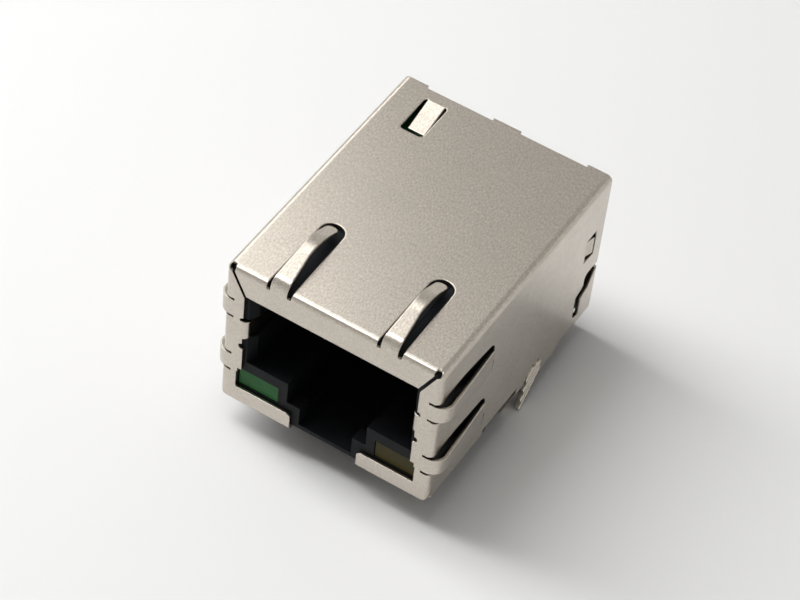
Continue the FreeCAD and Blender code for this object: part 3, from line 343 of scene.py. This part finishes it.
@dataclass(frozen=True)
class FiredBody(Finish):
    """Ceramic, pressed and fired: matt and slightly grainy.

    The real grains are about 0.005 mm wide, too fine to show, so grain_size is coarser.
    """

    grain: str = "#1c1a19"
    roughness: float = 0.6
    ior: float = 1.6
    grain_size: float = 0.08
    grain_detail: float = 4.0
    grain_height: float = 0.006
    grain_strength: float = 0.5

    def shade(self, tree: bpy.types.NodeTree) -> bpy.types.Node:
        """Fine grain in colour and relief.

        Args:
            tree: the material's empty node tree.

        Returns:
            The ceramic's shader node.
        """
        place = add_node(tree, "ShaderNodeTexCoord")
        grain = add_node(tree, "ShaderNodeTexNoise", inputs={
            "Vector": place.outputs["Object"], "Scale": per_size(self.grain_size), "Detail": self.grain_detail})
        tint = add_node(tree, "ShaderNodeMix", data_type="RGBA", inputs={
            MIX_SHARE: grain.outputs[0], MIX_FIRST: linear(self.colour), MIX_SECOND: linear(self.grain)})
        bump = add_node(tree, "ShaderNodeBump", inputs={
            "Strength": self.grain_strength, "Distance": self.grain_height * MM, "Height": grain.outputs[0]})
        return add_node(tree, "ShaderNodeBsdfPrincipled", inputs={
            "Base Color": tint.outputs[MIX_RESULT], "Roughness": self.roughness, "IOR": self.ior,
            "Normal": bump.outputs[0]})


# Nickel over rolled bronze: warm grey, with a shine too soft to mirror.
NICKEL_SHEET = PlatedSheet("nickel_plated_sheet", "#cec6bb")
# Moulded polyester with glass in it: near black and faintly blue, dull, slightly uneven.
BLACK_POLYESTER = MouldedPlastic("glass_filled_polyester", "#0e1013")
# Cast epoxy with dye in it: dark while the light is off, smooth, slightly cloudy.
GREEN_RESIN = TintedEpoxy("green_cast_epoxy", "#2b6634", deep="#173f1e")
AMBER_RESIN = TintedEpoxy("amber_cast_epoxy", "#423a10", deep="#292409")
# Gold flash on drawn bronze: yellow and bright.
GILT_WIRE = DrawnMetal("gold_flashed_bronze", "#d9b45c", wear_and_painted_shade="#b98c3c")
# Matt tin on stamped strip: pale grey without a mirror.
TIN_PIN = DrawnMetal("matt_tinned_strip", "#c4c2bb", wear_and_painted_shade="#a3a19a", roughness=0.36)
# Enamel over drawn copper: red brown with a sharp glint.
COPPER_WIRE = DrawnMetal("enamelled_copper", "#a8552c", wear_and_painted_shade="#7c3a1c", roughness=0.22)
# Solder mask over glass laminate: dark green and glossy.
LAMINATE = MouldedPlastic("solder_masked_laminate", "#14402a", fleck="#1d5236", roughness=0.3, skin_size=0.3)
# Pressed and sintered ferrite: charcoal and chalky.
FERRITE = FiredBody("sintered_ferrite", "#262322")
# Glaze fired over a resistor's film: black and half glossy.
RESISTOR_GLAZE = FiredBody("fired_glaze", "#17181a", roughness=0.3)
# Fired titanate: a plain tan body.
CHIP_CERAMIC = FiredBody("fired_titanate", "#8c7149", grain="#6d5636", roughness=0.45)


@dataclass
class SubAssembly:
    """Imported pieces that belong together, and the finish of each."""

    title: str
    finishes: dict[str, Finish]

    def dress(self, nodes: dict[str, bpy.types.Object]) -> None:
        """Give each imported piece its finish.

        Args:
            nodes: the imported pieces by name.
        """
        for name, finish in self.finishes.items():
            piece = nodes[name]
            piece.data.materials.clear()
            piece.data.materials.append(finish.material())
            LOG.info("%s: %s in %s", self.title, name, finish.name)


def numbered(stem: str, count: int, finish: Finish) -> dict[str, Finish]:
    """The same finish for pieces numbered from 1.

    Args:
        stem: the pieces' name without its number.
        count: how many there are.
        finish: their finish.

    Returns:
        The finish of each piece by name.
    """
    return {f"{stem}_{index}": finish for index in range(1, count + 1)}


@dataclass
class Shield(SubAssembly):
    """Folded sheet over the jack and its rear cover, its cut edges rolled over by the punch."""

    title: str = "shield"
    finishes: dict[str, Finish] = field(default_factory=lambda: {
        "front_shield": NICKEL_SHEET, "rear_shield": NICKEL_SHEET})


@dataclass
class Insides(SubAssembly):
    """Moulded body, contacts, lights, pins and the transformers behind."""

    title: str = "insides"
    contacts: int = 8
    transformers: int = 4
    resistors: int = 4
    pins_per_light: int = 2
    finishes: dict[str, Finish] = field(default_factory=dict)

    def __post_init__(self) -> None:
        """Fill in the finish of every inner piece."""
        self.finishes = {
            "housing": BLACK_POLYESTER, "contact_block": BLACK_POLYESTER, "transformer_case": BLACK_POLYESTER,
            "light_left": GREEN_RESIN, "light_right": AMBER_RESIN,
            "circuit_board": LAMINATE, "capacitor": CHIP_CERAMIC,
            **numbered("contact", self.contacts, GILT_WIRE),
            **numbered("board_pin", self.contacts, TIN_PIN),
            **numbered("light_pin_left", self.pins_per_light, TIN_PIN),
            **numbered("light_pin_right", self.pins_per_light, TIN_PIN),
            **numbered("transformer_core", self.transformers, FERRITE),
            **numbered("transformer_winding", self.transformers, COPPER_WIRE),
            **numbered("resistor", self.resistors, RESISTOR_GLAZE),
        }


@dataclass(frozen=True)
class SoftLamp:
    """A flat glowing panel that faces the jack.

    It hangs toward a direction at a distance, and its power is in watts. A panel can light matt surfaces alone or show
    in glossy ones alone, so that the shadows and the reflections are set apart.
    """

    name: str
    toward: tuple[float, float, float]
    distance: float
    width: float
    height: float
    power: float
    on_matt: bool = True
    in_gloss: bool = True

    def hang(self) -> None:
        """Add the panel to the scene."""
        data = bpy.data.lights.new(self.name, "AREA")
        data.shape = "RECTANGLE"
        data.size = self.width * MM
        data.size_y = self.height * MM
        data.energy = self.power
        lamp = bpy.data.objects.new(self.name, data)
        lamp.visible_diffuse = self.on_matt
        lamp.visible_glossy = self.in_gloss
        side = Vector(self.toward).normalized()
        lamp.location = side * self.distance * MM
        lamp.rotation_euler = side.to_track_quat("Z", "Y").to_euler()
        bpy.context.scene.collection.objects.link(lamp)


@dataclass
class Studio:
    """Pale table, soft light and the camera, none of them part of the jack."""

    table_height: float = -1.62
    table_side: float = 900.0
    table_colour: str = "#f1f1f1"
    room_colour: str = "#f6f5f2"
    room_light: float = 0.28
    wall_glow: float = 0.95
    ceiling_glow: float = 0.54
    ceiling_from: float = 0.6
    lamps: tuple[SoftLamp, ...] = (
        SoftLamp("tall_window", (-0.62, -0.05, 0.78), 294.0, 105.0, 300.0, 0.55, in_gloss=False),
        SoftLamp("window_head", (-0.438, -0.023, 0.899), 300.0, 107.0, 424.0, 0.437, in_gloss=False),
        SoftLamp("window_glass", (-0.547, -0.145, 0.824), 290.0, 92.0, 302.0, 0.24, on_matt=False),
        SoftLamp("pale_card", (-0.40, -0.22, 0.89), 306.0, 100.0, 150.0, 0.11, on_matt=False),
        SoftLamp("pale_screen", (-0.575, 0.405, 0.71), 300.0, 150.0, 250.0, 0.22, on_matt=False),
    )
    eye: tuple[float, float, float] = (59.3786, -116.3098, 151.8280)
    eye_tilt: float = 42.1100
    eye_turn: float = 27.0469
    eye_roll: float = 6.7952
    lens: float = 134.22
    sensor: float = 36.0
    sight_from: float = 1.0
    sight_to: float = 10000.0

    def lay_table(self) -> None:
        """A matt paper sheet that looks white behind the jack and still takes its shadow."""
        half = self.table_side / 2 * MM
        height = self.table_height * MM
        mesh = bpy.data.meshes.new("table")
        corners = [(-half, -half, height), (half, -half, height), (half, half, height), (-half, half, height)]
        mesh.from_pydata(corners, [], [range(len(corners))])
        table = bpy.data.objects.new("table", mesh)
        bpy.context.scene.collection.objects.link(table)
        paper = bpy.data.materials.new("matt_paper")
        paper.use_nodes = True
        tree = paper.node_tree
        tree.nodes.clear()
        face = add_node(tree, "ShaderNodeBsdfDiffuse", inputs={"Color": linear(self.table_colour)})
        add_node(tree, "ShaderNodeOutputMaterial", inputs={"Surface": face.outputs[0]})
        mesh.materials.append(paper)

    def light_up(self) -> None:
        """A pale room with a tall window on the left, and a pale card and screen that only gloss picks up.

        The window's light on matt surfaces and its image in the metal come from separate panels. The room shines
        brighter on what looks at it, in the camera and in polished metal, than on matt surfaces, so that the backdrop
        stays white while the table keeps its shadow.
        """
        world = bpy.data.worlds.new("pale_room")
        world.use_nodes = True
        tree = world.node_tree
        tree.nodes.clear()
        path = add_node(tree, "ShaderNodeLightPath")
        seen = add_node(tree, "ShaderNodeMath", operation="MAXIMUM", inputs={
            0: path.outputs["Is Camera Ray"], 1: path.outputs["Is Glossy Ray"]})
        looks = add_node(tree, "ShaderNodeMath", operation="MAXIMUM", inputs={
            0: seen.outputs[0], 1: path.outputs["Is Transmission Ray"]})
        toward = add_node(tree, "ShaderNodeTexCoord")
        rise = add_node(tree, "ShaderNodeSeparateXYZ", inputs={"Vector": toward.outputs["Generated"]})
        glow = add_node(tree, "ShaderNodeMapRange", inputs={
            "Value": rise.outputs["Z"], "From Min": 0.0, "From Max": self.ceiling_from,
            "To Min": self.wall_glow, "To Max": self.ceiling_glow})
        strength = add_node(tree, "ShaderNodeMapRange", inputs={
            "Value": looks.outputs[0], "To Min": self.room_light, "To Max": glow.outputs[0]})
        room = add_node(tree, "ShaderNodeBackground", inputs={
            "Color": linear(self.room_colour), "Strength": strength.outputs[0]})
        add_node(tree, "ShaderNodeOutputWorld", inputs={"Surface": room.outputs[0]})
        bpy.context.scene.world = world
        for lamp in self.lamps:
            lamp.hang()

    def place_camera(self) -> None:
        """The camera where the photograph was taken from."""
        data = bpy.data.cameras.new("camera")
        data.sensor_width = self.sensor
        data.lens = self.lens
        data.clip_start = self.sight_from * MM
        data.clip_end = self.sight_to * MM
        camera = bpy.data.objects.new("camera", data)
        facing = (Matrix.Rotation(math.radians(self.eye_turn), 4, "Z")
                  @ Matrix.Rotation(math.radians(self.eye_tilt), 4, "X")
                  @ Matrix.Rotation(math.radians(self.eye_roll), 4, "Z"))
        camera.matrix_world = Matrix.Translation(Vector(self.eye) * MM) @ facing
        bpy.context.scene.collection.objects.link(camera)
        bpy.context.scene.camera = camera

    def set_up(self) -> None:
        """Lay the table, light it and place the camera."""
        self.lay_table()
        self.light_up()
        self.place_camera()
        bpy.context.scene.view_settings.view_transform = "Standard"


def main() -> None:
    """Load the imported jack, dress it and set the stage."""
    logging.basicConfig(level=logging.INFO, format="%(name)s: %(message)s")
    for item in list(bpy.data.objects):
        bpy.data.objects.remove(item)
    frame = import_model()
    for part in (Shield(), Insides()):
        part.dress(frame["nodes"])
    Studio().set_up()


if __name__ == "__main__":
    main()
